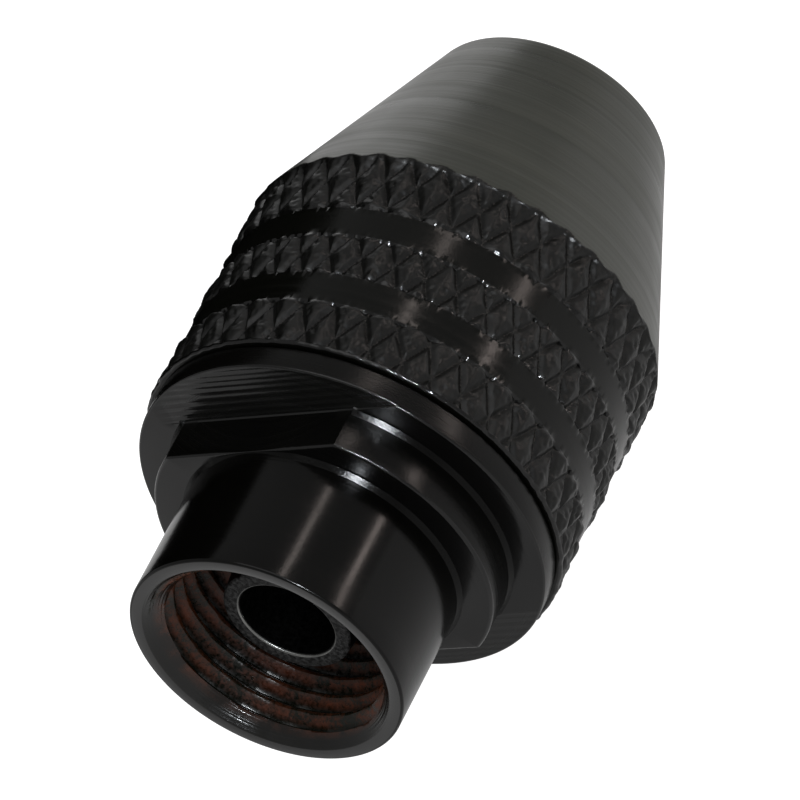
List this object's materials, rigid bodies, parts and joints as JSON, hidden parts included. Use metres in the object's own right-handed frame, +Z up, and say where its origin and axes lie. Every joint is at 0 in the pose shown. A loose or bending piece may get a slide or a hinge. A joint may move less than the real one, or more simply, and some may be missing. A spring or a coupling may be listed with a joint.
{
  "type": "keyless drill chuck",
  "caption": "Small keyless drill chuck for a rotary tool: threaded socket with wrench flats, knurled turning sleeve with a cone nose, and inclined sliding jaws inside.",
  "frame": {"origin": "on the surface that the chuck lies on, below the middle of its length", "axes": "+X along the spindle axis towards the nose; +Z up, square to the wrench flats, which face up and down; the first jaw lies towards -Y"},
  "size_m": [0.0232, 0.0142, 0.0142],
  "materials": {
    "blackened_body": "black oxide on turned steel, glossy tube and satin flange",
    "blackened_sleeve": "black oxide, diamond knurl with bright worn edges, satin turned cone",
    "hardened_jaw": "hardened and ground steel, darkened",
    "nut_steel": "turned steel, oiled",
    "bearing_steel": "polished bearing steel",
    "cage_brass": "pressed brass"
  },
  "bodies": {
    "body": {"body": "blackened_body", "rear_race": "bearing_steel"},
    "sleeve": {"sleeve": "blackened_sleeve", "nut_half_a": "nut_steel", "nut_half_b": "nut_steel", "front_race": "bearing_steel"},
    "ball_train": {"thrust_balls": "bearing_steel", "ball_cage": "cage_brass"},
    "jaw_1": {"jaw_1": "hardened_jaw"},
    "jaw_2": {"jaw_2": "hardened_jaw"},
    "jaw_3": {"jaw_3": "hardened_jaw"}
  },
  "joints": [
    {"name": "sleeve_turn", "type": "hinge", "parent": "body", "child": "sleeve", "pos_m": [0.00395, 0, 0.0071], "axis": [-1, 0, 0], "range_deg": [0, 1854]},
    {"name": "ball_train_turn", "type": "hinge", "parent": "body", "child": "ball_train", "pos_m": [0.00193, 0, 0.0071], "axis": [-1, 0, 0], "range_deg": [0, 927]},
    {"name": "jaw_1_slide", "type": "slide", "parent": "body", "child": "jaw_1", "axis": [0.9511, 0.309, 0], "range_m": [0, 0.00515]},
    {"name": "jaw_2_slide", "type": "slide", "parent": "body", "child": "jaw_2", "axis": [0.9511, -0.1545, -0.2676], "range_m": [0, 0.00515]},
    {"name": "jaw_3_slide", "type": "slide", "parent": "body", "child": "jaw_3", "axis": [0.9511, -0.1545, 0.2676], "range_m": [0, 0.00515]}
  ],
  "couplings": [
    {"joint": "ball_train_turn", "follows": "sleeve_turn", "ratio": 0.5},
    {"joint": "jaw_1_slide", "follows": "sleeve_turn", "m_per_rad": 0.00015915},
    {"joint": "jaw_2_slide", "follows": "sleeve_turn", "m_per_rad": 0.00015915},
    {"joint": "jaw_3_slide", "follows": "sleeve_turn", "m_per_rad": 0.00015915}
  ]
}
